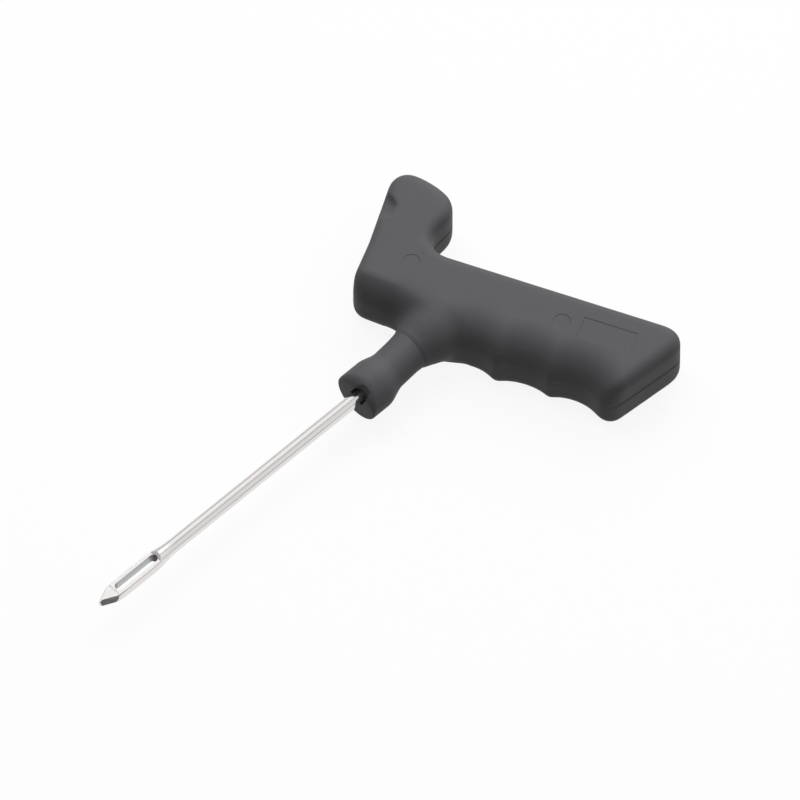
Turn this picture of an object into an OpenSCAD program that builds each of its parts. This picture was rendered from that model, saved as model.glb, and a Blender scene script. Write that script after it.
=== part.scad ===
// Tyre plug insertion tool: a pistol handle of two moulded halves, a nose collar
// and a plated steel rod with a needle eye.
// Origin: on the rod axis, in the mouth of the collar.
// X points along the rod to its tip, Y down the grip, Z out of the upper half.

/* [Rod] */
// Diameter of the round shank
rod_d = 5; // [4:0.25:6]
// Length of rod in front of the collar
rod_reach = 121; // [90:1:150]
// Diameter of the swollen eye before it is flattened
eye_d = 7; // [6.4:0.1:8]
// Thickness across the flats of the eye
eye_t = 4.2; // [3.4:0.1:5]
// Length of the taper from the shank to the eye
eye_taper = 12; // [6:0.5:16]
// Width of the needle slot
needle_w = 3; // [2:0.1:3.4]
// Length of the needle slot
needle_len = 19; // [12:0.5:24]
// Solid metal in front of the needle slot
tip_len = 7.5; // [6:0.1:10]
// Diameter of the blunt end of the tip
tip_d = 2.4; // [1.4:0.1:3]
// Length of the steep bevel at the tip
bevel_len = 2.8; // [1.5:0.1:3.5]

/* [Rod tail] */
// Width of the flattened tail
spade_w = 7; // [6.5:0.25:9]
// Thickness of the flattened tail
spade_t = 2.8; // [2:0.1:3.6]
// Length of the flattened tail
spade_len = 11; // [8:0.5:13]
// Distance from the collar's mouth to the end of the tail
tail_len = 55; // [50:0.5:57]

/* [Nose collar] */
// Diameter of the flared collar
collar_d = 18.3; // [16:0.1:20]
// Length of the flared collar
collar_len = 8; // [6:0.5:10]
// Length of the taper behind the flared collar
taper_len = 8.5; // [6:0.5:10]
// Diameter of the neck
neck_d = 14.6; // [13.4:0.2:16]
// Distance from the mouth to the crease where the handle starts
neck_len = 27; // [24:0.5:29]
// How far the neck has leant from the rod towards the head at the crease
neck_lean = 1.6; // [0:0.1:2]
// Step in radius from the neck in to the spigot
spigot_step = 2.9; // [2.5:0.1:3.3]
// Length of the spigot in the handle
spigot_len = 11.5; // [10:0.5:13]
// Height of the flange on the end of the spigot
flange_h = 1.2; // [0.8:0.1:1.4]
// Thickness of the flange
flange_t = 2.5; // [1.5:0.1:3]
// Width of the relief slot in the mouth
relief_w = 6.8; // [5.4:0.2:8]
// Depth of the relief slot
relief_depth = 2.4; // [1:0.1:4]
// Turn of the relief slot from straight up towards the grip
relief_turn = 24; // [0:1:90]
// Edge break on the rim of the mouth
mouth_edge = 0.5; // [0.2:0.1:1]

/* [Handle] */
// Thickness of the handle
body_t = 24; // [22:0.5:28]
// Rake of the grip from square to the rod
rake = 26; // [20:0.5:32]
// Distance from the mouth back to the back of the grip on the rod axis
back_x = 66; // [63:0.5:70]
// Width of the grip over the finger ridges
grip_w = 30.6; // [26:0.2:32]
// Length of the back of the grip below the rod axis
grip_len = 75; // [70:0.5:85]
// Slant of the butt from parallel to the rod
butt_slant = 4.2; // [0:0.2:12]
// How far the toe of the butt stands out past the finger ridges
toe_out = 4.6; // [2:0.2:7]
// Spacing of the finger ridges
finger_pitch = 19.3; // [17:0.1:20]
// Depth of the finger scallops
finger_dip = 2.4; // [1:0.1:3]
// Distance along the grip from the rod axis up to the first finger ridge
first_ridge = 7.2; // [5:0.2:9]
// Distance from the rod axis to the outer corner of the head's front
head_reach = 30.3; // [28:0.1:33]
// Distance from the mouth to the front of the head
head_x = 25.5; // [24:0.5:28]
// Slope of the outer edge of the head
head_slope = 28.5; // [24:0.5:31]
// Distance from the mouth to the end of the rear lobe
lobe_x = 77.4; // [74:0.2:80]
// Distance from the rod axis to the inner side of the rear lobe
lobe_y = 26.5; // [25:0.5:28]
// Radius of the scoop in the upper edge for the thumb
scoop_r = 8; // [6:0.25:10]
// Distance of the scoop behind the front of the head
scoop_back = 30; // [27:0.25:32]
// Rounding of the upper edge along the back and the butt
edge_round = 3; // [2:0.25:6]
// Rounding of the upper edge along the fingers
finger_round = 8; // [6:0.25:10]
// Rounding of the upper edge round the rear lobe
head_round = 5; // [3:0.25:8]
// Rounding of the upper edge along the outer side of the head
outer_round = 3; // [2:0.25:6]
// How far the end of the rear lobe leans forward towards its outer corner
lobe_lean = 5.5; // [2:0.25:7]
// Rounding of the front of the head
front_round = 10; // [6:0.25:10.5]
// How far the end of the rear lobe swells out between its corners
lobe_swell = 1.5; // [0.5:0.1:2.5]
// Rounding of the lower edge
under_round = 5.5; // [4:0.25:7]
// Half width of the groove along the seam
seam = 0.7; // [0.3:0.1:1.2]
// Step in radius from the neck out to the nose of the handle
nose_step = 0.5; // [0.2:0.1:1.2]
// Length over which the nose swells into the handle
nose_flare = 14; // [12:0.5:20]

/* [Moulding] */
// Thickness of the wall round the hollows
wall = 4.5; // [3.5:0.25:6]
// Thickness of the roof over the hollows
roof = 3; // [2:0.25:4]
// Length of the label pad
pad_len = 19.6; // [12:0.2:24]
// Width of the label pad
pad_w = 8.8; // [6:0.2:10]
// Depth of the label pad and of the round marks
mark_depth = 0.4; // [0.2:0.1:0.8]
// Diameter of the round marks
mark_d = 6.4; // [5:0.2:8]
// Place of the label pad down the grip
pad_along = 46; // [44:0.5:48]
// Place of the pad and the lower screw across the grip
mid_across = 12; // [11:0.25:13]

/* [Fixings] */
// Diameter of the anchor pin
pin_d = 3; // [2:0.25:4]
// Length of the anchor pin
pin_len = 16; // [12:0.5:18]
// Diameter of the screw shanks
screw_d = 3.4; // [2.8:0.1:4]
// Diameter of the screw heads
screw_head_d = 6.4; // [5.6:0.1:7.4]
// Height of the screw heads
screw_head_h = 2.4; // [1.6:0.1:3]
// Depth of the screw seats below the outer face
screw_seat = 6; // [4:0.25:7]
// Place of the lower screw down the grip
screw_along = 29.4; // [26:0.2:32]
// Distance of the upper screw behind the front of the head
screw_back = 21.8; // [20:0.1:24]
// Distance of the upper screw in from the corner of the head
screw_in = 8.5; // [7.5:0.1:10]
// Diameter of the screw bosses
boss_d = 10.4; // [10:0.2:12]
// Clearance round the screw shanks and heads in the lower half, on the radius
screw_gap = 0.3; // [0.2:0.05:0.4]
// Clearance of a sliding fit, on the radius
fit_gap = 0.1; // [0.05:0.05:0.2]

/* [Hidden] */
$fn = 96;
eps = 0.01;
half_t = body_t / 2;
far = 4 * body_t;

moulded_black = "#2f3032";
collar_black = "#2a2b2d";
bright_plate = "#d4d6d8";
zinc_steel = "#9a9da1";

// A place on the grip: along it from the rod axis, and across it from its back
function on_grip(along, across) =
    [-back_x - along * sin(rake) + across * cos(rake), along * cos(rake) + across * sin(rake)];

// A place on the sloping outer edge of the head, the given length behind its front
function on_head(back) = [-head_x - back, -head_reach - back * tan(head_slope)];

// The butt's place down the grip, at the given place across it
butt_turn = rake + butt_slant;
function butt_along(across) = grip_len - across * tan(butt_turn);
toe_across = grip_w + toe_out;

// Ridges between the fingers, and the points where the tangents of each scallop meet
function ridge(i) = on_grip(i * finger_pitch - first_ridge, grip_w);
function scallop(i) = on_grip((i + 0.5) * finger_pitch - first_ridge, grip_w - 2 * finger_dip);
ridge_r = 3;
scallop_r = 19;
scallop_round = finger_round - 1.5;

// Lobe, crotch and root of the nose
lobe_back = lobe_x - lobe_lean - head_x;
lobe_in = [-lobe_x, -lobe_y];
lobe_out = on_head(lobe_back);
crotch = on_grip(-(lobe_y - 1) / cos(rake), 0);
root = [-head_x - 6.5, 16 - head_reach];

// Outline at the seam, anticlockwise from above: place, corner radius, and the rounding of the
// edge at that corner, or of the edges before and after it
OUTLINE = [
    [ridge(0), 3 * ridge_r, finger_round],
    [scallop(0), scallop_r, scallop_round],
    [ridge(1), ridge_r, finger_round],
    [scallop(1), scallop_r, scallop_round],
    [ridge(2), ridge_r, finger_round],
    [scallop(2), scallop_r, scallop_round],
    [on_grip(butt_along(toe_across), toe_across), 5, [finger_round, edge_round]],
    [on_grip(grip_len, 0), 6.2, edge_round],
    [crotch, 8, edge_round],
    [lobe_in, 10, head_round],
    [(lobe_in + lobe_out) / 2 - lobe_swell * left_of(unit(lobe_out - lobe_in)), 30, head_round],
    [lobe_out, 6, [head_round, outer_round]],
    [on_head(0), 6, [outer_round, front_round]],
    [root, 4, front_round],
];
corner_steps = 5;
rise_steps = 7;
sharpest = 0.8;
round_max = half_t - 2 * seam;

function unit(v) = v / norm(v);
function left_of(v) = [-v.y, v.x];
function near(list, i) = list[(i + len(list)) % len(list)];

// The corners of the outline moved into the body by the insets of the edges before and after
function inset_corners(inset) = [
    for (i = [0:len(OUTLINE) - 1])
        let (here = OUTLINE[i][0],
             n_in = left_of(unit(here - near(OUTLINE, i - 1)[0])),
             n_out = left_of(unit(near(OUTLINE, i + 1)[0] - here)),
             both = (inset[i][0] + inset[i][1]) / 2,
             odd = (inset[i][0] - inset[i][1]) / 2)
            here + both * (n_in + n_out) / (1 + n_in * n_out) + odd * (n_in - n_out) / (1 - n_in * n_out)
];

// Signed turn at a corner, and the length of edge that its arc takes
function turn(p, i) =
    let (u = unit(p[i] - near(p, i - 1)), v = unit(near(p, i + 1) - p[i]))
        atan2(cross(u, v), u * v);
function arc_reach(p, radius, i) = radius[i] * tan(abs(turn(p, i)) / 2);

// An outline with its corners turned into arcs that never meet
function rounded(p, radius) =
    let (t = [for (i = [0:len(p) - 1]) arc_reach(p, radius, i)]) [
        for (i = [0:len(p) - 1])
            let (u = unit(p[i] - near(p, i - 1)),
                 room_in = norm(p[i] - near(p, i - 1)) / (t[i] + near(t, i - 1)),
                 room_out = norm(near(p, i + 1) - p[i]) / (t[i] + near(t, i + 1)),
                 fit = min(1, 0.98 * room_in, 0.98 * room_out),
                 bend = turn(p, i),
                 r = sign(bend) * radius[i] * fit,
                 n = left_of(u),
                 centre = p[i] - u * t[i] * fit + n * r)
                for (k = [0:corner_steps])
                    let (a = bend * k / corner_steps)
                        centre - r * [n.x * cos(a) - n.y * sin(a), n.x * sin(a) + n.y * cos(a)]
    ];

// How far an edge of the given rounding has drawn in at height z
function edge_inset(z, q) =
    let (r = min(q, round_max), over = z - (half_t - r))
        z < seam ? seam - z : over <= 0 ? 0 : r - sqrt(max(0, r * r - over * over));

// One ring of a half handle at height z, its edges rounded by all_round if that is given
function ring(z, all_round) =
    let (corners = [for (c = OUTLINE) c[0]],
         inset = [for (c = OUTLINE)
             [for (side = [0, 1])
                 edge_inset(z, all_round != undef ? all_round : is_list(c[2]) ? c[2][side] : c[2])]],
         radius = [for (i = [0:len(OUTLINE) - 1])
             let (drawn = (inset[i][0] + inset[i][1]) / 2)
                 turn(corners, i) > 0 ? max(sharpest, OUTLINE[i][1] - drawn) : OUTLINE[i][1] + drawn])
        [for (p = rounded(inset_corners(inset), radius)) [p.x, p.y, z]];

LEVELS = concat([0, seam], [for (k = [1:rise_steps]) 2 * seam + round_max * sin(90 * k / rise_steps)]);

// Half of the handle above the seam, without its nose
module handle_half(all_round) {
    rings = [for (z = LEVELS) ring(z, all_round)];
    count = len(rings[0]);
    last = len(rings) - 1;
    polyhedron(
        points = [for (r = rings) each r],
        faces = concat(
            [[for (j = [0:count - 1]) j]],
            [[for (j = [count - 1:-1:0]) last * count + j]],
            [for (k = [0:last - 1]) for (j = [0:count - 1])
                let (a = k * count + j, b = k * count + (j + 1) % count, c = a + count, d = b + count)
                    each [[a, c, d], [a, d, b]]]));
}

// Radii of the collar and of what it passes through
bore_r = rod_d / 2 + fit_gap;
neck_r = neck_d / 2;
collar_r = collar_d / 2;
spigot_r = neck_r - spigot_step;
flange_r = spigot_r + flange_h;
spigot_end = neck_len + spigot_len;
nose_r = neck_r + nose_step;
nose_top = half_t - seam;
curve_steps = 10;

// A shape turned on the rod axis: its profile gives radius and place along X
module turned(profile) {
    rotate([0, 90, 0]) rotate_extrude() polygon(profile);
}

// A round hole or bar along the rod axis, from one distance behind the mouth to another
module along_rod(r, from, to) {
    translate([-to, 0, 0]) rotate([0, 90, 0]) cylinder(r = r, h = to - from);
}

// Half of the nose, which swells from the neck into the handle
module nose_half() {
    intersection() {
        translate([0, -neck_lean, 0]) turned($fn = 60, concat(
            [[0, -neck_len]],
            [for (k = [0:curve_steps])
                [nose_r + (nose_top - nose_r) * sin(90 * k / curve_steps),
                 -neck_len - nose_flare * k / curve_steps]],
            [[0, -neck_len - nose_flare]]));
        translate([-far, -far / 2, 0]) cube([far, far, far]);
    }
}

// Room in both halves for the spigot, the rod's tail and the anchor pin
pin_at = tail_len - spade_len / 2;
spade_blend = 2;
module rod_room() {
    along_rod(spigot_r + fit_gap, neck_len - eps, spigot_end);
    along_rod(flange_r + fit_gap, spigot_end - flange_t - fit_gap, spigot_end + fit_gap);
    along_rod(bore_r, spigot_end, tail_len - spade_len + eps);
    translate([-tail_len - fit_gap, -spade_w / 2 - fit_gap, -spade_t / 2 - fit_gap])
        cube([spade_len + spade_blend + 2 * fit_gap, spade_w + 2 * fit_gap, spade_t + 2 * fit_gap]);
    translate([-pin_at, 0, -pin_len / 2 - fit_gap])
        cylinder(r = pin_d / 2 + fit_gap, h = pin_len + 2 * fit_gap);
}

// Hollows that keep the moulding's walls even
hollow_r = 3;
hollow_top = 16;
inner_across = grip_w - 2 * finger_dip - wall;
butt_wall = wall / cos(butt_turn);
hollow_h = half_t - roof;
lobe_hollow = 10;
module hollow(corners) {
    translate([0, 0, -eps]) linear_extrude(hollow_h + eps)
        polygon(rounded(corners, [for (c = corners) hollow_r]));
}
module hollows() {
    hollow([
        on_grip(hollow_top, wall),
        on_grip(hollow_top, inner_across),
        on_grip(butt_along(inner_across) - butt_wall, inner_across),
        on_grip(butt_along(wall) - butt_wall, wall),
    ]);
    hollow([
        [-lobe_x + 1.6 * wall + lobe_hollow, -lobe_y - wall],
        [-lobe_x + 1.6 * wall, -lobe_y - wall],
        [-lobe_x + 2 * wall, -lobe_y - wall - lobe_hollow],
        [-lobe_x + 1.6 * wall + lobe_hollow, -lobe_y - wall - lobe_hollow],
    ]);
}

// Both screws, from the seam
SCREWS = [on_grip(screw_along, mid_across), [-head_x - screw_back, screw_in - head_reach]];
seat_z = half_t - screw_seat;
screw_tip = hollow_h - 2 * fit_gap;
module at_screws() {
    for (p = SCREWS) translate([p.x, p.y, 0]) children();
}

// Body of either half, seam down: outer form, hollows and screw bosses
module half_body(all_round) {
    resize([0, 0, half_t]) {
        difference() {
            union() {
                handle_half(all_round);
                nose_half();
            }
            hollows();
        }
        translate([SCREWS[0].x, SCREWS[0].y, 0]) cylinder(d = boss_d, h = hollow_h + roof / 2, $fn = 40);
    }
}

module upper_shell() {
    color(moulded_black) difference() {
        half_body();
        rod_room();
        at_screws() {
            translate([0, 0, -eps]) cylinder(r = screw_d / 2 + fit_gap, h = hollow_h + eps);
            translate([0, 0, half_t - mark_depth]) cylinder(d = mark_d, h = 1);
        }
        translate([on_head(scoop_back).x, on_head(scoop_back).y - scoop_r / 4, half_t + scoop_r / 4]) sphere(scoop_r);
        translate([on_grip(pad_along, mid_across).x, on_grip(pad_along, mid_across).y, half_t - mark_depth])
            rotate(rake) translate([-pad_w / 2, -pad_len / 2, 0]) cube([pad_w, pad_len, 1]);
    }
}

module lower_shell() {
    color(moulded_black) difference() {
        mirror([0, 0, 1]) half_body(under_round);
        rod_room();
        at_screws() {
            translate([0, 0, -half_t]) cylinder(r = screw_d / 2 + screw_gap, h = body_t);
            translate([0, 0, -half_t - eps]) cylinder(r = screw_head_d / 2 + screw_gap, h = screw_seat + eps);
        }
    }
}

// The neck behind the flare, which leans as it runs back to the handle
neck_run = neck_len - collar_len;
taper_r = neck_r - 0.8;
module neck() {
    intersection() {
        translate([-collar_len, 0, 0]) rotate(atan(neck_lean / neck_run))
            rotate([0, 90, 0]) cylinder(r = neck_r, h = far, center = true);
        translate([-neck_len, -far / 2, -far / 2]) cube([neck_len - collar_len, far, far]);
    }
}

module nose_collar() {
    color(collar_black) difference() {
        union() {
            turned(concat(
                [[0, 0], [collar_r - mouth_edge, 0], [collar_r, -mouth_edge]],
                [for (k = [0:curve_steps])
                    [taper_r + (collar_r - taper_r) * (1 + cos(180 * k / curve_steps)) / 2,
                     -collar_len - taper_len * k / curve_steps]],
                [[0, -collar_len - taper_len]]));
            neck();
            along_rod(spigot_r, neck_len - 1, spigot_end);
            along_rod(flange_r, spigot_end - flange_t, spigot_end);
        }
        along_rod(bore_r, -1, spigot_end + 1);
        rotate([-relief_turn, 0, 0])
            translate([-relief_depth, -relief_w / 2, 0]) cube([relief_depth + 1, relief_w, collar_d]);
    }
}

// Needle slot and eye, as places along X
rod_r = rod_d / 2;
eye_r = eye_d / 2;
tip_r = tip_d / 2;
needle_end = rod_reach - tip_len;
needle_start = needle_end - needle_len;
eye_start = needle_start - eye_taper * 2 / 3;
shoulder = 3;
flat_ramp = 1.5;
spade_root = spade_len - tail_len;

// Cut above one flat of the eye, with a short ramp out to the round shank
module flat_cut() {
    rotate([90, 0, 0]) linear_extrude(4 * eye_d, center = true) polygon([
        [needle_start - shoulder - flat_ramp, eye_t / 2 + flat_ramp],
        [needle_start - shoulder, eye_t / 2],
        [rod_reach + 1, eye_t / 2],
        [rod_reach + 1, eye_d],
        [needle_start - shoulder - flat_ramp, eye_d],
    ]);
}

// Round shank with its flattened tail
module insertion_rod() {
    color(bright_plate) difference() {
        union() {
            along_rod(rod_r, -eye_start, -spade_root);
            linear_extrude(spade_t, center = true) polygon([
                [-tail_len, -spade_w / 2],
                [spade_root - spade_blend, -spade_w / 2],
                [spade_root + spade_blend, -rod_r / 2],
                [spade_root + spade_blend, rod_r / 2],
                [spade_root - spade_blend, spade_w / 2],
                [-tail_len, spade_w / 2],
            ]);
        }
        translate([-pin_at, 0, -spade_w]) cylinder(r = pin_d / 2 + fit_gap, h = 2 * spade_w);
    }
}

// Swollen end of the shank, flattened and slotted
module needle_eye() {
    color(bright_plate) difference() {
        turned(concat(
            [[0, eye_start]],
            [for (k = [0:curve_steps])
                [rod_r + (eye_r - rod_r) * (1 - cos(180 * k / curve_steps)) / 2,
                 eye_start + eye_taper * k / curve_steps]],
            [[eye_r, needle_end - shoulder], [eye_r - (eye_r - tip_r) / 4, rod_reach - bevel_len],
             [tip_r, rod_reach], [0, rod_reach]]));
        flat_cut();
        mirror([0, 0, 1]) flat_cut();
        translate([needle_start + needle_w / 2, -needle_w / 2, -eye_d])
            cube([needle_len - needle_w, needle_w, 2 * eye_d]);
        for (x = [needle_start + needle_w / 2, needle_end - needle_w / 2])
            translate([x, 0, -eye_d]) cylinder(d = needle_w, h = 2 * eye_d);
    }
}

module anchor_pin() {
    color(zinc_steel) translate([-pin_at, 0, 0]) cylinder(d = pin_d, h = pin_len, center = true);
}

recess_w = 0.9;
recess_depth = 1.3;
point_len = 2;
module shell_screws() {
    color(zinc_steel) at_screws() difference() {
        union() {
            translate([0, 0, -seat_z - screw_head_h]) cylinder(d = screw_head_d, h = screw_head_h);
            translate([0, 0, -seat_z - eps]) cylinder(d = screw_d, h = seat_z + screw_tip - point_len + eps);
            translate([0, 0, screw_tip - point_len - eps]) cylinder(d1 = screw_d, d2 = screw_d / 3, h = point_len);
        }
        for (a = [0, 90]) rotate(a)
            translate([-screw_head_d / 3, -recess_w / 2, -seat_z - screw_head_h - eps])
                cube([screw_head_d * 2 / 3, recess_w, recess_depth]);
    }
}

upper_shell();
lower_shell();
nose_collar();
insertion_rod();
needle_eye();
anchor_pin();
shell_screws();
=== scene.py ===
import math
import bmesh
import bpy
from mathutils import Matrix, Vector


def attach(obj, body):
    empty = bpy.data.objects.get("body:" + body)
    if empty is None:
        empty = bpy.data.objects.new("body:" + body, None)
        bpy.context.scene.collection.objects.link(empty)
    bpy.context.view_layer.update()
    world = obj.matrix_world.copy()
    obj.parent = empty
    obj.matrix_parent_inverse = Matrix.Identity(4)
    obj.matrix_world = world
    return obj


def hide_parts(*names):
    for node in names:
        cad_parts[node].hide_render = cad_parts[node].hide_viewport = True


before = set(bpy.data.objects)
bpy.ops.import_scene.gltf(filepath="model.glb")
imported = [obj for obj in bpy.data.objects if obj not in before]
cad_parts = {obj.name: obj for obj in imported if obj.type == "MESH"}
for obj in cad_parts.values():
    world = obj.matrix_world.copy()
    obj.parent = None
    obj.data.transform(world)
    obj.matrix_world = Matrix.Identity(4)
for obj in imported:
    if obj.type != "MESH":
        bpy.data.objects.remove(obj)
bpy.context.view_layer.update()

# Insertion rod: one length of 5 mm steel bar with a bright plating. Its end is swollen,
# pressed flat and slotted into the needle eye that carries the plug, and its tail is
# held inside the handle.
MM = 0.001
BAR_TAIL, EYE_START, BAR_TIP = -44, 86.5, 121
BAR_RADIUS = 2.5
SLOT_MIDDLE, SLOT_LENGTH, SLOT_WIDTH, SLOT_CORNER = 104, 19, 3, 1.45
# The pressed flats: where each one starts, and its height over the axis.
FLATS = ((95, 2.1), (114.4, 1.95))
PAST_TIP, PRESS_DEPTH, RUN_OUT = 123, 4, 6
# The tip's four facets: a place on the first one, and the way it faces.
FACET_PLACE, FACET_FACING = (117.3, 1.3, 1.95), (0.36, 0.76, 0.54)
BAR_CREASE = 25


def linear(hex_colour):
    parts = [int(hex_colour[i:i + 2], 16) / 255 for i in (1, 3, 5)]
    return [c / 12.92 if c <= 0.04045 else ((c + 0.055) / 1.055) ** 2.4 for c in parts] + [1.0]


def add(tree, kind, inputs=None, **settings):
    """A shader node with its settings, and its inputs linked or set."""
    node = tree.nodes.new(kind)
    for name, value in settings.items():
        setattr(node, name, value)
    for socket, value in (inputs or {}).items():
        if isinstance(value, bpy.types.NodeSocket):
            tree.links.new(value, node.inputs[socket])
        else:
            node.inputs[socket].default_value = value
    return node


def material(name):
    made = bpy.data.materials.new(name)
    made.use_nodes = True
    return made, made.node_tree, made.node_tree.nodes["Principled BSDF"]


def placed(x, y, z):
    return Matrix.Translation((x * MM, y * MM, z * MM))


def sized(x, y, z):
    return Matrix.Diagonal((x * MM, y * MM, z * MM, 1))


def piece(name, bm, finish, sharp=30):
    """A mesh as an object at the origin, smooth up to its sharp edges."""
    bmesh.ops.recalc_face_normals(bm, faces=bm.faces)
    mesh = bpy.data.meshes.new(name)
    bm.to_mesh(mesh)
    bm.free()
    mesh.polygons.foreach_set("use_smooth", [True] * len(mesh.polygons))
    mesh.set_sharp_from_angle(angle=math.radians(sharp))
    mesh.materials.append(finish)
    made = bpy.data.objects.new(name, mesh)
    bpy.context.collection.objects.link(made)
    return made


def after_modifiers(made):
    """The mesh of a working object once its modifiers have run. The object is put away."""
    shape = bmesh.new()
    shape.from_object(made, bpy.context.evaluated_depsgraph_get())
    bpy.data.objects.remove(made)
    return shape


def cut_away(bm, cutter, finish):
    body = piece("working_body", bm, finish)
    tool = piece("working_cutter", cutter, finish)
    body.modifiers.new("cut", "BOOLEAN").object = tool
    left = after_modifiers(body)
    bpy.data.objects.remove(tool)
    return left


def slice_through(bm, place, facing, **cleared):
    """Cut a mesh along a plane through a place in mm, and clear the side that is named."""
    bmesh.ops.bisect_plane(bm, geom=list(bm.verts) + list(bm.edges) + list(bm.faces),
                           plane_co=[c * MM for c in place], plane_no=facing, **cleared)


def close_holes(bm):
    bmesh.ops.holes_fill(bm, edges=[e for e in bm.edges if e.is_boundary])


def break_edges(made, width, segments, sharp=30):
    """A live bevel, its width in mm, along the edges sharper than an angle in degrees."""
    edge_break = made.modifiers.new("edge break", "BEVEL")
    edge_break.width = width * MM
    edge_break.segments = segments
    edge_break.limit_method = "ANGLE"
    edge_break.angle_limit = math.radians(sharp)


def turned(profile, steps, lean=0.0):
    """A profile of (along X, radius) in mm, spun round the rod's axis or one beside it in Y."""
    bm = bmesh.new()
    verts = [bm.verts.new((x * MM, lean * MM, r * MM)) for x, r in profile]
    edges = [bm.edges.new(pair) for pair in zip(verts, verts[1:])]
    bmesh.ops.spin(bm, geom=verts + edges, cent=(0, lean * MM, 0), axis=(1, 0, 0),
                   angle=math.tau, steps=steps, use_merge=True)
    bmesh.ops.remove_doubles(bm, verts=bm.verts, dist=1e-7)
    return bm


bright_plate, tree, shader = material("bright nickel plated steel")
# Plating over drawn bar: a mirror with very fine lines along the rod, drawn here 0.25 mm
# apart and 25 mm long because the real ones are too fine to show.
place = add(tree, "ShaderNodeTexCoord").outputs["Object"]
drawn = add(tree, "ShaderNodeMapping",
            {"Vector": place, "Scale": (1 / (25 * MM), 1 / (0.25 * MM), 1 / (0.25 * MM))})
lines = add(tree, "ShaderNodeTexNoise",
            {"Vector": drawn.outputs[0], "Scale": 1.0, "Detail": 2.0})
rough = add(tree, "ShaderNodeMapRange",
            {"Value": lines.outputs["Fac"], "To Min": 0.06, "To Max": 0.2})
relief = add(tree, "ShaderNodeBump",
             {"Height": lines.outputs["Fac"], "Strength": 0.05, "Distance": 0.2 * MM})
tree.links.new(rough.outputs[0], shader.inputs["Roughness"])
tree.links.new(relief.outputs[0], shader.inputs["Normal"])
shader.inputs["Base Color"].default_value = linear("#e2dfde")
shader.inputs["Metallic"].default_value = 1.0

dull_plate, tree, shader = material("dull plated steel with painted end shade")
# Inside the slot the plating is thin and rough, and over 2 mm towards either end its colour is
# darkened as painted shade, where the slot's ends lie deep in shadow.
place = add(tree, "ShaderNodeTexCoord").outputs["Object"]
along = add(tree, "ShaderNodeSeparateXYZ", {0: place})
offset = add(tree, "ShaderNodeMath", {0: along.outputs["X"], 1: SLOT_MIDDLE * MM},
             operation="SUBTRACT")
reach = add(tree, "ShaderNodeMath", {0: offset.outputs[0]}, operation="ABSOLUTE")
# Painted shade: the colour darkens over the last 2 mm towards each end of the slot.
painted_end_shade = add(tree, "ShaderNodeMapRange",
            {"Value": reach.outputs[0], "From Min": 7.2 * MM, "From Max": 9.2 * MM})
shade = add(tree, "ShaderNodeMix", {"Factor": painted_end_shade.outputs[0], "A": linear("#c2c3c5"),
                                    "B": linear("#464647")}, data_type="RGBA")
tree.links.new(shade.outputs["Result"], shader.inputs["Base Color"])
shader.inputs["Metallic"].default_value = 1.0
shader.inputs["Roughness"].default_value = 0.45

shank = [(BAR_TAIL, 0), (BAR_TAIL, BAR_RADIUS), (0, BAR_RADIUS)]
swelling = [(EYE_START + k, BAR_RADIUS + (1 - math.cos(math.pi * k / 12)) / 2) for k in range(13)]
point = [(110.5, 3.5), (113, 3.38), (115.8, 3.18), (118.2, 2.9), (119.8, 2.05), (120.7, 1.45),
         (BAR_TIP, 1.0), (BAR_TIP, 0)]
bar = turned(shank + swelling + point, steps=64)
slot = bmesh.new()
bmesh.ops.create_cube(slot, size=1, matrix=placed(SLOT_MIDDLE, 0, 0)
                      @ sized(SLOT_LENGTH, SLOT_WIDTH, 14))
ends = [e for e in slot.edges if abs(e.verts[0].co.z - e.verts[1].co.z) > MM]
bmesh.ops.bevel(slot, geom=ends, offset=SLOT_CORNER * MM, offset_type="OFFSET", affect="EDGES",
                segments=8, profile=0.5, material=-1)
bar = cut_away(bar, slot, bright_plate)
for start, level in FLATS:
    middle = level + PRESS_DEPTH / 2
    for side in (1, -1):
        flat = bmesh.new()
        bmesh.ops.create_cube(flat, size=1, matrix=sized(PAST_TIP - start, 12, PRESS_DEPTH))
        bmesh.ops.translate(flat, verts=flat.verts,
                            vec=((start + PAST_TIP) / 2 * MM, 0, side * middle * MM))
        for v in flat.verts:
            if v.co.x < (start + 1) * MM and side * v.co.z > middle * MM:
                v.co.x -= RUN_OUT * MM
        bar = cut_away(bar, flat, bright_plate)
for corner in ((1, 1, 1), (1, 1, -1), (1, -1, 1), (1, -1, -1)):
    slice_through(bar, [c * p for c, p in zip(corner, FACET_PLACE)],
                  [c * f for c, f in zip(corner, FACET_FACING)], clear_outer=True)
    close_holes(bar)
for f in bar.faces:
    spot = f.calc_center_median()
    within = abs(spot.x - SLOT_MIDDLE * MM) < (SLOT_LENGTH / 2 + 0.1) * MM
    if within and abs(spot.y) < (SLOT_WIDTH / 2 + 0.02) * MM and abs(f.normal.z) < 0.5:
        f.material_index = 1
rod = piece("plug_rod", bar, bright_plate, BAR_CREASE)
rod.data.materials.append(dull_plate)
break_edges(rod, 0.2, 3, BAR_CREASE)
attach(rod, "root")
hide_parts("insertion_rod", "needle_eye")

# Anchor pin: a plain zinc plated steel pin through the rod's flattened tail. It is shut
# up inside the handle and stops the rod from being pulled out.
zinc_plate, tree, shader = material("zinc plated steel")
# Passivated zinc: a soft grey metal with a slightly cloudy gloss, in patches of about 1 mm.
place = add(tree, "ShaderNodeTexCoord").outputs["Object"]
cloud = add(tree, "ShaderNodeTexNoise", {"Vector": place, "Scale": 1 / (1 * MM), "Detail": 3.0})
rough = add(tree, "ShaderNodeMapRange",
            {"Value": cloud.outputs["Fac"], "To Min": 0.25, "To Max": 0.5})
tree.links.new(rough.outputs[0], shader.inputs["Roughness"])
shader.inputs["Base Color"].default_value = linear("#aeb1b5")
shader.inputs["Metallic"].default_value = 1.0
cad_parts["anchor_pin"].material_slots[0].material = zinc_plate

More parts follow.
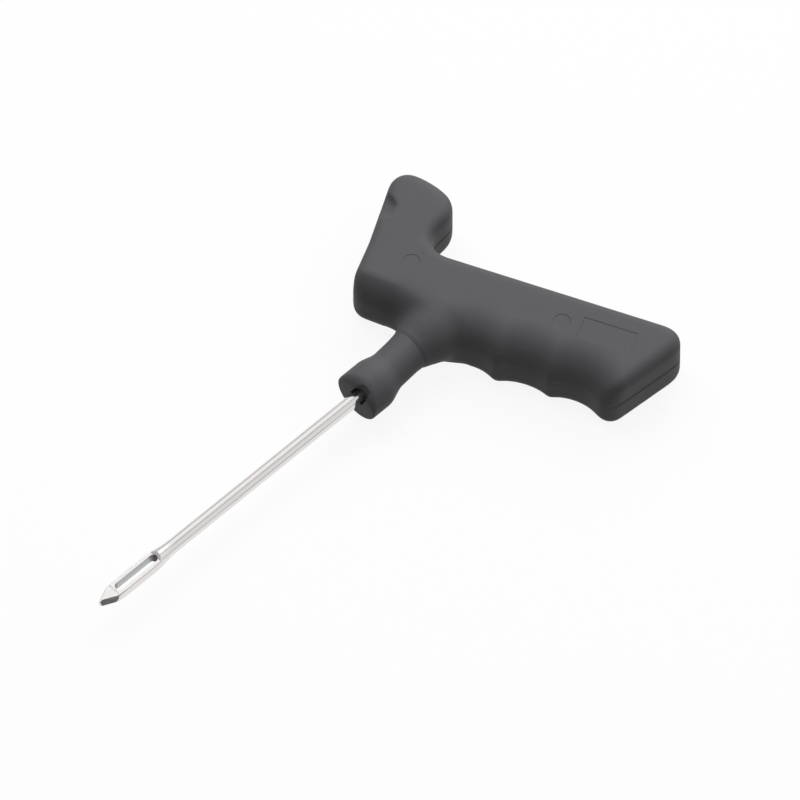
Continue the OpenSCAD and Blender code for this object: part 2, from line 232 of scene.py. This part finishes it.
# Nose collar: a moulded nylon sleeve over the rod, flared at the mouth and with a shallow
# relief slot beside the rod. Its spigot is trapped between the two halves of the handle.
BORE_RADIUS, NECK_RADIUS, FLARE = 2.6, 7.3, 1.85
MOUTH_RADIUS = NECK_RADIUS + FLARE
FLARE_START, FLARE_LENGTH = -8, 8.5
NECK_LEAN, LEAN_LENGTH = 1.6, 19
RELIEF_DEPTH, RELIEF_WIDTH, RELIEF_REACH, RELIEF_CORNER = 5, 6, 18, 1.8
RELIEF_TURN = math.radians(-24)

charcoal, tree, shader = material("moulded charcoal nylon")
# Moulded against a spark-eroded tool: a matt skin with a fine grain of about 0.5 mm and
# faint clouds 8 mm across where the melt cooled unevenly.
place = add(tree, "ShaderNodeTexCoord").outputs["Object"]
cloud = add(tree, "ShaderNodeTexNoise", {"Vector": place, "Scale": 1 / (8 * MM), "Detail": 3.0})
grain = add(tree, "ShaderNodeTexNoise", {"Vector": place, "Scale": 1 / (0.5 * MM), "Detail": 3.0})
shade = add(tree, "ShaderNodeMix", {"Factor": cloud.outputs["Fac"], "A": linear("#4d4d50"),
                                    "B": linear("#555557")}, data_type="RGBA")
rough = add(tree, "ShaderNodeMapRange",
            {"Value": cloud.outputs["Fac"], "To Min": 0.6, "To Max": 0.7})
relief = add(tree, "ShaderNodeBump",
             {"Height": grain.outputs["Fac"], "Strength": 0.25, "Distance": 0.1 * MM})
tree.links.new(shade.outputs["Result"], shader.inputs["Base Color"])
tree.links.new(rough.outputs[0], shader.inputs["Roughness"])
tree.links.new(relief.outputs[0], shader.inputs["Normal"])
shader.inputs["IOR"].default_value = 1.53
shader.inputs["Specular IOR Level"].default_value = 0.3

neck = [(-29, 0), (-29, 7.5), (-27, 7.62), (-25.5, 7.48), (-24, 7.36), (-22, NECK_RADIUS),
        (-19, NECK_RADIUS)]
flare = [(FLARE_START - FLARE_LENGTH * k / 14,
          NECK_RADIUS + FLARE * (1 + math.cos(math.pi * k / 14)) / 2) for k in range(15)]
rim = [(math.sin(math.pi * k / 16) - 1, MOUTH_RADIUS - 1 + math.cos(math.pi * k / 16))
       for k in range(9)]
bore = [(0, BORE_RADIUS), (-20, BORE_RADIUS), (-20, 0)]
sleeve = turned(neck + flare[::-1] + rim + bore, steps=96)
for v in sleeve.verts:
    out = math.hypot(v.co.y, v.co.z)
    if v.co.x > -1.01 * MM and out > 8.1 * MM:
        # The rim is hardly broken at the sides and eased to a 5 mm rounding over the top.
        eased = 0.6 + 4.4 * max(0, (0.15 * v.co.y + 0.99 * v.co.z) / out) ** 1.5
        v.co.x *= eased
        drawn_in = (MOUTH_RADIUS * MM - (MOUTH_RADIUS * MM - out) * eased) / out
        v.co.y *= drawn_in
        v.co.z *= drawn_in
    # Behind its flare the neck leans towards the head.
    v.co.y -= NECK_LEAN * MM * min(1, max(0, (FLARE_START * MM - v.co.x) / (LEAN_LENGTH * MM)))
relief_slot = bmesh.new()
bmesh.ops.create_cube(relief_slot, size=1, matrix=Matrix.Rotation(RELIEF_TURN, 4, "X")
                      @ placed(0, 0, RELIEF_REACH / 2)
                      @ sized(RELIEF_DEPTH, RELIEF_WIDTH, RELIEF_REACH))
inner = [e for e in relief_slot.edges
         if e.calc_length() > (RELIEF_REACH - 1) * MM and e.verts[0].co.x < 0]
bmesh.ops.bevel(relief_slot, geom=inner, offset=RELIEF_CORNER * MM, offset_type="OFFSET",
                affect="EDGES", segments=6, profile=0.5, material=-1)
collar = piece("nose_sleeve", cut_away(sleeve, relief_slot, charcoal), charcoal)
break_edges(collar, 0.25, 2)
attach(collar, "root")
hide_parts("nose_collar")

# Handle: two halves of the same nylon, moulded with finger scallops, a rear lobe for the
# web of the hand and a nose that swells round the collar's spigot, and screwed together
# from below.
HALF = 12.0
# Each corner's place and radius, then for the edge on to the next corner its rounding above,
# how far that rounding stands over the face, and its rounding below, in mm.
OUTLINE = [
    (-35.34, 6.94, 9, 12.5, 0, 4.5), (-43.40, 13.65, 19, 12.5, 0, 4.5),
    (-43.35, 24.20, 3, 12.5, 0, 4.5), (-52.35, 30.86, 19, 12.5, 0, 4.5),
    (-52.16, 41.64, 3, 12.5, 0, 4.5), (-60.81, 48.21, 19, 12.5, 0, 5),
    (-58.00, 64.43, 6.5, 4.5, 0, 4), (-98.88, 67.41, 6.8, 3, 0, 5.5),
    (-53.56, -25.50, 7.5, 4, 0, 5), (-77.05, -27.10, 9, 5, 0, 6),
    (-76.42, -41.28, 30, 5, 0, 5.5), (-71.90, -55.49, 7.5, 4, 0, 5.5),
    (-43.26, -39.10, 60, 4, 0, 5.5), (-25.30, -30.50, 6, 12, 1.1, 6.5),
    (-32.00, -14.30, 4, 12, 1.1, 5.5),
]
RISE_ANGLES = (0, 20, 35, 48, 58, 66, 73, 79, 84, 88, 90)
SCOOP_PLACE, SCOOP_TURN = (-56.95, -47.4, 17), math.radians(24)
SCOOP_END, SCOOP_END_FACING = (-61.1, -47.3, 0), (0.966, -0.258, 0)
KNIT_SIZE = 0.55
# The seam: its half width, and how wide it gapes at the nose, over the grip and at the lobe.
SEAM_LIP = 0.7
NOSE_GAPE, GRIP_GAPE, LOBE_GAPE = 0.12, 0.75, 1.25
# The marks over the screws and the seats under them: radius, depth and the wall's slant.
SCREW_PLACES = ((-68.10, 31.68), (-47.30, -21.80))
MARK, SEAT = (2.9, 0.18, 1.6), (3.5, 6, 0.3)
PAD_PLACE, PAD_SIZE, PAD_TURN = (-75.38, 46.6, 12.34), (8.6, 19.4, 1.0), math.radians(26)


def handle_ring(bm, height):
    """One level of the handle: its corners drawn in by the edges' roundings, then made arcs."""
    corners = [Vector(c[:2]) for c in OUTLINE]
    verts, arcs = [], []
    for i, here in enumerate(corners):
        before = (here - corners[i - 1]).normalized()
        after = (corners[(i + 1) % len(corners)] - here).normalized()
        drawn = []
        for edge in (OUTLINE[i - 1], OUTLINE[i]):
            rounding, stands = (edge[3], edge[4]) if height > 0 else (edge[5], 0)
            over = max(0, abs(height) - HALF + rounding - stands)
            drawn.append(rounding - math.sqrt(rounding ** 2 - over ** 2))
        mean, odd = (drawn[0] + drawn[1]) / 2, (drawn[0] - drawn[1]) / 2
        inward = Vector((-before.y, before.x)), Vector((-after.y, after.x))
        alike = inward[0].dot(inward[1])
        spot = (here + mean * (inward[0] + inward[1]) / (1 + alike)
                + odd * (inward[0] - inward[1]) / (1 - alike))
        turn = math.atan2(before.cross(after), before.dot(after))
        radius = max(0.8, OUTLINE[i][2] - mean) if turn > 0 else OUTLINE[i][2] + mean
        verts.append(bm.verts.new((spot.x * MM, spot.y * MM, height * MM)))
        arcs.append(radius * math.tan(abs(turn) / 2) * MM)
    known = set(bm.faces)
    bm.faces.new(verts)
    for vert, reach in zip(verts, arcs):
        bmesh.ops.bevel(bm, geom=[vert], offset=reach, offset_type="OFFSET", affect="VERTICES",
                        segments=6, profile=0.5, material=-1, clamp_overlap=True)
    return next(f for f in bm.faces if f not in known)


skin = bmesh.new()
rises = [2 + (HALF - 2) * math.sin(math.radians(a)) for a in RISE_ANGLES]
levels = [handle_ring(skin, h) for h in [-r for r in rises[::-1]] + rises]
for low, high in zip(levels, levels[1:]):
    bmesh.ops.bridge_loops(skin, edges=list(low.edges) + list(high.edges))
bmesh.ops.delete(skin, geom=levels[1:-1], context="FACES_ONLY")
bulge = [(-27 - 1.4 * k, 7.7 + 3.85 * math.sin(math.pi * k / 20)) for k in range(11)]
nose = turned([(-26, 0), (-26, 7.2)] + bulge + [(-41, 0)], steps=64, lean=-NECK_LEAN)
nose_mesh = bpy.data.meshes.new("nose")
nose.to_mesh(nose_mesh)
nose.free()
skin.from_mesh(nose_mesh)
body = piece("working_skin", skin, charcoal)
scoop = bmesh.new()
bmesh.ops.create_uvsphere(scoop, u_segments=48, v_segments=24, radius=MM,
                          matrix=placed(*SCOOP_PLACE) @ Matrix.Rotation(SCOOP_TURN, 4, "Z")
                          @ Matrix.Diagonal((11, 8, 8, 1)))
slice_through(scoop, SCOOP_END, SCOOP_END_FACING, clear_inner=True)
close_holes(scoop)
thumb = piece("working_scoop", scoop, charcoal)
for step in ("one skin", "scoop", "one skin again"):
    if step == "scoop":
        body.modifiers.new(step, "BOOLEAN").object = thumb
    else:
        knit = body.modifiers.new(step, "REMESH")
        knit.mode = "VOXEL"
        knit.voxel_size = KNIT_SIZE * MM
soften = body.modifiers.new("moulding radii", "SMOOTH")
soften.factor = 0.5
soften.iterations = 12
skin = after_modifiers(body)
bpy.data.objects.remove(thumb)
# The nose runs into the grip and the head in one soft hollow.
root = [v for v in skin.verts
        if -44 * MM < v.co.x < -28.5 * MM and -19 * MM < v.co.y < 13 * MM]
for _ in range(60):
    bmesh.ops.smooth_vert(skin, verts=root, factor=0.5,
                          use_axis_x=True, use_axis_y=True, use_axis_z=True)

for name, side in (("lower_half", -1), ("upper_half", 1)):
    half = skin.copy()
    slice_through(half, (0, 0, side * SEAM_LIP), (0, 0, side))
    slice_through(half, (0, 0, 0), (0, 0, side), clear_inner=True)
    half.normal_update()
    for v in half.verts:
        lip = SEAM_LIP * MM - abs(v.co.z)
        if lip > 0:
            # The seam closes to a fine line at the nose and along the fingers.
            out = Vector((v.normal.x, v.normal.y, 0)).normalized()
            to_lobe = min(1, max(0, (-10 * MM - v.co.y) / (12 * MM)))
            gape = GRIP_GAPE + (LOBE_GAPE - GRIP_GAPE) * to_lobe
            if v.co.x > -44 * MM:
                gape = NOSE_GAPE
            v.co -= out * lip * gape * min(1, max(0.15, 1.2 - 1.5 * out.x))
    close_holes(half)
    recess = bmesh.new()
    radius, deep, slant = MARK if side > 0 else SEAT
    for x, y in SCREW_PLACES:
        bmesh.ops.create_cone(recess, cap_ends=True, segments=48, radius1=radius * MM,
                              radius2=(radius + slant) * MM, depth=(deep + 1) * MM,
                              matrix=placed(x, y, side * (HALF + 0.5 - deep / 2))
                              @ Matrix.Rotation(0 if side > 0 else math.pi, 4, "X"))
    if side > 0:
        pad = bmesh.ops.create_cube(recess, size=1)["verts"]
        for v in pad:
            if v.co.z > 0:
                v.co += Vector((math.copysign(0.12, v.co.x), math.copysign(0.05, v.co.y), 0))
        bmesh.ops.transform(recess, verts=pad, matrix=placed(*PAD_PLACE)
                            @ Matrix.Rotation(PAD_TURN, 4, "Z") @ sized(*PAD_SIZE))
    made = piece(name, cut_away(half, recess, charcoal), charcoal)
    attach(made, "root")
    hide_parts("upper_shell" if side > 0 else "lower_shell")
skin.free()

# Screws: two zinc plated cross-head screws that draw the halves together, sunk in deep
# seats in the lower half.
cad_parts["shell_screws"].material_slots[0].material = zinc_plate

# Studio: a plain white table under four soft boxes, in a room that is dark ahead of the
# tool, seen from the photograph's angle through a long lens.
TABLE_HEIGHT, TABLE_REACH = -0.0121, 6.0
# Each soft box: its place, width and length in metres, and its power in watts.
SOFT_BOXES = (("left soft box", (-0.58, -0.86, 1.25), 1.6, 1.6, 3.6),
              ("right soft box", (-0.48, 1.18, 0.96), 1.8, 1.8, 3.6),
              ("top soft box", (-0.03, -0.55, 1.27), 0.35, 0.9, 5.8),
              ("back soft box", (-1.15, -0.35, 0.92), 0.9, 0.9, 10.0))
LIT_PLACE = Vector((-0.04, 0.01, 0))
AROUND, ABOVE = math.radians(46.45), math.radians(58)
AIM, AWAY = Vector((-0.01065, 0.01095, 0)), 8
SENSOR_WIDTH, FRAME_PIXELS, PIXELS_PER_MM = 36, 800, 2.896

table, tree, shader = material("white table")
# Painted board: white to the eye and in the plating, and a mid grey in the light it throws back.
rays = add(tree, "ShaderNodeLightPath")
seen = add(tree, "ShaderNodeMath", {0: rays.outputs["Is Camera Ray"],
                                    1: rays.outputs["Is Glossy Ray"]}, operation="ADD")
seen = add(tree, "ShaderNodeMath", {0: seen.outputs[0], 1: rays.outputs["Is Transmission Ray"]},
           operation="ADD", use_clamp=True)
top = add(tree, "ShaderNodeMix", {"Factor": seen.outputs[0], "A": linear("#747474"),
                                  "B": linear("#f2f2f2")}, data_type="RGBA")
tree.links.new(top.outputs["Result"], shader.inputs["Base Color"])
shader.inputs["Roughness"].default_value = 0.9
glow = add(tree, "ShaderNodeEmission", {"Color": (1, 1, 1, 1), "Strength": 1.0})
amount = add(tree, "ShaderNodeMath", {0: seen.outputs[0], 1: 0.9}, operation="MULTIPLY")
mixed = add(tree, "ShaderNodeMixShader",
            {0: amount.outputs[0], 1: shader.outputs[0], 2: glow.outputs[0]})
tree.links.new(mixed.outputs[0], tree.nodes["Material Output"].inputs["Surface"])
ground = bmesh.new()
bmesh.ops.create_grid(ground, x_segments=1, y_segments=1, size=TABLE_REACH,
                      matrix=Matrix.Translation((0, 0, TABLE_HEIGHT)))
floor = piece("table", ground, table)

room = bpy.data.worlds.new("room")
bpy.context.scene.world = room
room.use_nodes = True
tree = room.node_tree
way = add(tree, "ShaderNodeTexCoord").outputs["Generated"]
parts = add(tree, "ShaderNodeSeparateXYZ", {0: way})
height = add(tree, "ShaderNodeMapRange",
             {"Value": parts.outputs["Z"], "From Min": 0.0, "From Max": 0.3,
              "To Min": 0.55, "To Max": 0.62})
towards = add(tree, "ShaderNodeVectorMath", {0: way, 1: (0.88, 0.47, 0)}, operation="DOT_PRODUCT")
front = add(tree, "ShaderNodeMapRange",
            {"Value": towards.outputs["Value"], "From Min": -0.3, "From Max": 0.5,
             "To Min": 1.0, "To Max": 0.08})
# The plating mirrors a lighter room, dark only low down ahead of the tool.
rays = add(tree, "ShaderNodeLightPath")
over = add(tree, "ShaderNodeVectorMath", {0: way, 1: (-0.2, 0, 1)}, operation="DOT_PRODUCT")
rise = add(tree, "ShaderNodeMapRange",
           {"Value": over.outputs["Value"], "From Min": 0.08, "From Max": 0.16,
            "To Min": 0.2, "To Max": 0.85})
mirrored = add(tree, "ShaderNodeMath", {0: rays.outputs["Is Glossy Ray"], 1: rise.outputs[0]},
               operation="MULTIPLY")
front = add(tree, "ShaderNodeMath", {0: front.outputs[0], 1: mirrored.outputs[0]},
            operation="MAXIMUM")
level = add(tree, "ShaderNodeMath", {0: height.outputs[0], 1: front.outputs[0]},
            operation="MULTIPLY")
bare = add(tree, "ShaderNodeMath", {0: level.outputs[0], 1: rays.outputs["Is Camera Ray"]},
           operation="MAXIMUM")
tree.links.new(bare.outputs[0], tree.nodes["Background"].inputs["Strength"])
tree.nodes["Background"].inputs["Color"].default_value = (1, 1, 1, 1)

for name, spot, width, length, power in SOFT_BOXES:
    box = bpy.data.lights.new(name, "AREA")
    box.shape = "RECTANGLE"
    box.size = width
    box.size_y = length
    box.energy = power
    lamp = bpy.data.objects.new(name, box)
    lamp.location = spot
    lamp.rotation_euler = (LIT_PLACE - lamp.location).to_track_quat("-Z", "Y").to_euler()
    bpy.context.collection.objects.link(lamp)

sight = Vector((math.cos(ABOVE) * math.cos(AROUND), math.cos(ABOVE) * math.sin(AROUND),
                math.sin(ABOVE)))
right = Vector((-math.sin(AROUND), math.cos(AROUND), 0))
lens = bpy.data.cameras.new("photograph")
lens.lens = SENSOR_WIDTH * PIXELS_PER_MM * (AWAY / MM) / FRAME_PIXELS
lens.sensor_width = SENSOR_WIDTH
lens.clip_end = 20
camera = bpy.data.objects.new("photograph", lens)
facing = Matrix((right, sight.cross(right), sight)).transposed().to_4x4()
camera.matrix_world = Matrix.Translation(AIM + AWAY * sight) @ facing
bpy.context.collection.objects.link(camera)
bpy.context.scene.camera = camera
bpy.context.scene.view_settings.view_transform = "Standard"
